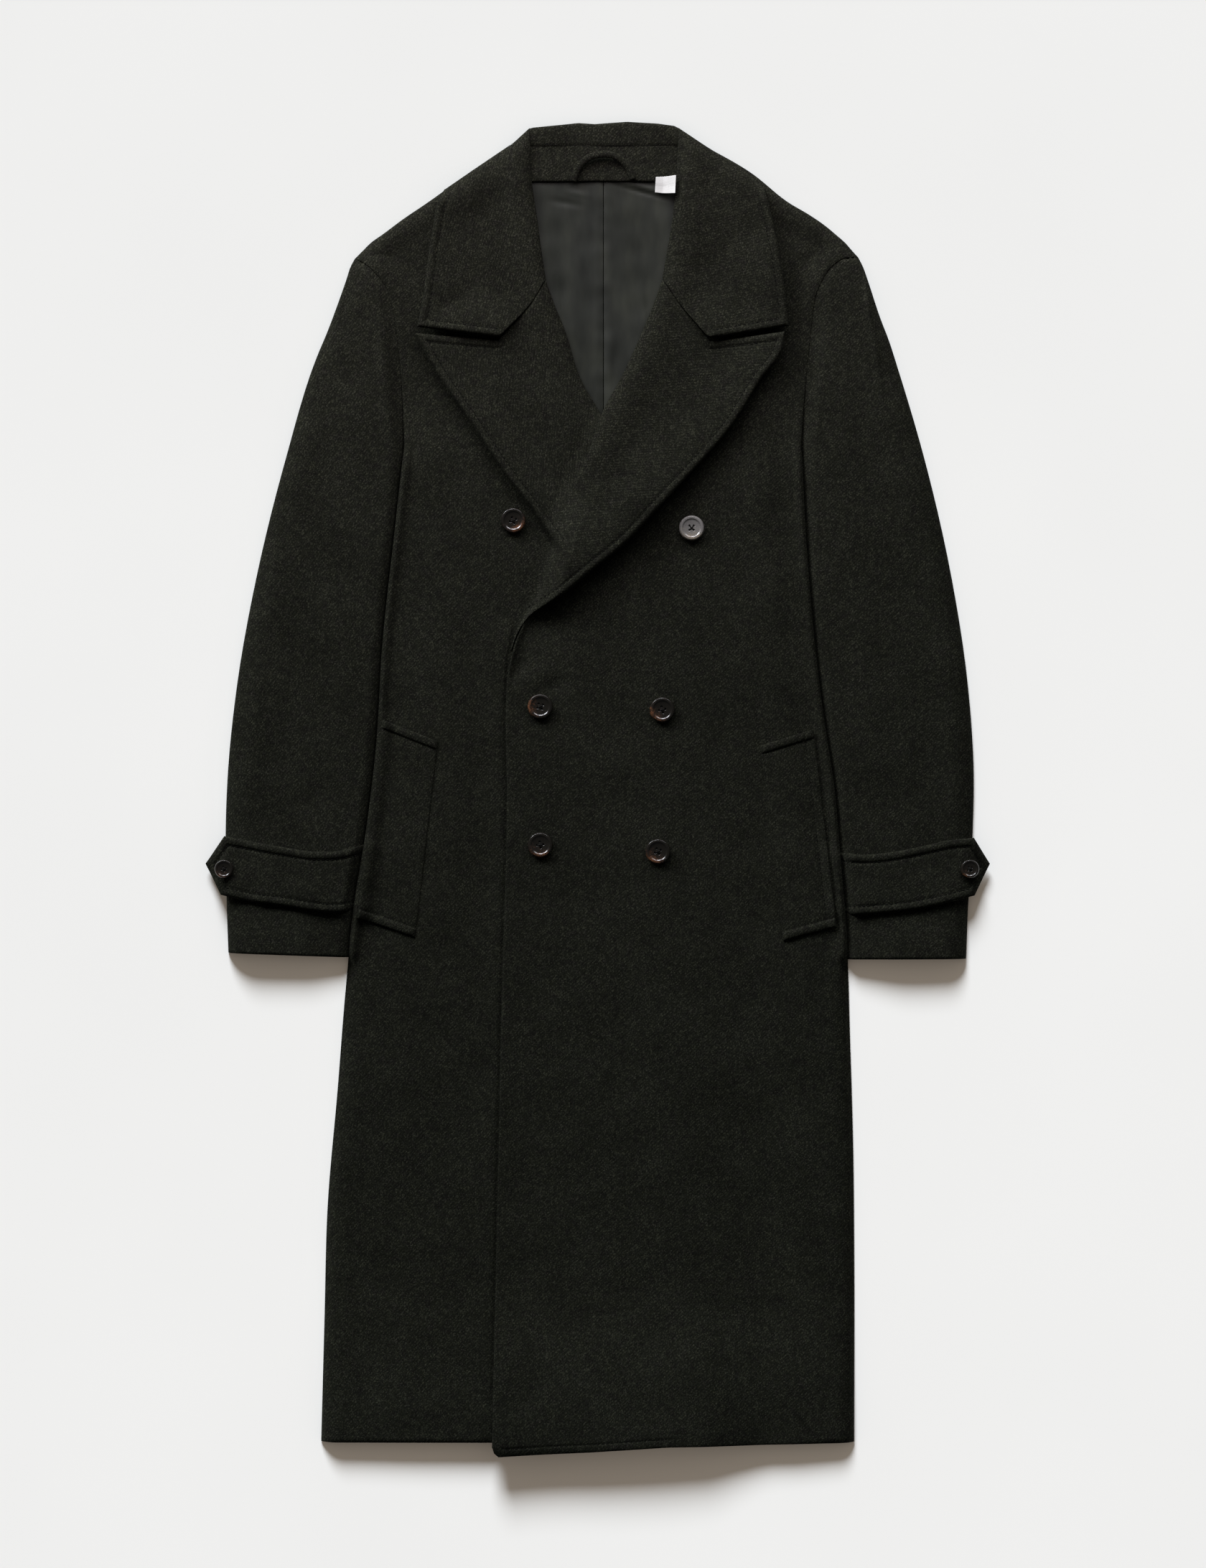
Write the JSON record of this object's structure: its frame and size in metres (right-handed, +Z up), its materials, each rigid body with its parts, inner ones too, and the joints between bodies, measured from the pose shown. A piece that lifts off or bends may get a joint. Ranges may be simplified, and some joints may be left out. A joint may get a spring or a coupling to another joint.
{
  "type": "double-breasted overcoat",
  "caption": "Long double-breasted wool overcoat with peak lapels, angled pocket welts and buttoned cuff straps, laid flat on its back.",
  "frame": {"origin": "centre of the coat's box, on the surface it lies on", "axes": "+Z up off the surface, +Y from the hem to the collar, +X towards the wearer's left"},
  "size_m": [0.7183, 1.226, 0.0216],
  "materials": {
    "wool": "dark charcoal-olive wool twill with a short nap",
    "lining": "dark grey satin lining",
    "horn": "dark marbled horn, polished rim",
    "label": "white woven tape, bare"
  },
  "bodies": {
    "root": {"back": "wool", "front_left": "wool", "front_right": "wool", "lapel_left": "wool", "lapel_right": "wool", "collar_left": "wool", "collar_right": "wool", "collar_stand": "wool", "neck_facing": "wool", "hanger_loop": "wool", "sleeve_left_top": "wool", "sleeve_left_under": "wool", "sleeve_right_top": "wool", "sleeve_right_under": "wool", "cuff_strap_left": "wool", "cuff_strap_right": "wool", "pocket_welt_left": "wool", "pocket_welt_right": "wool", "lining_left": "lining", "lining_right": "lining", "button_upper_left": "horn", "button_upper_right": "horn", "button_middle_left": "horn", "button_middle_right": "horn", "button_lower_left": "horn", "button_lower_right": "horn", "cuff_button_left": "horn", "cuff_button_right": "horn", "neck_label": "label"}
  },
  "joints": []
}
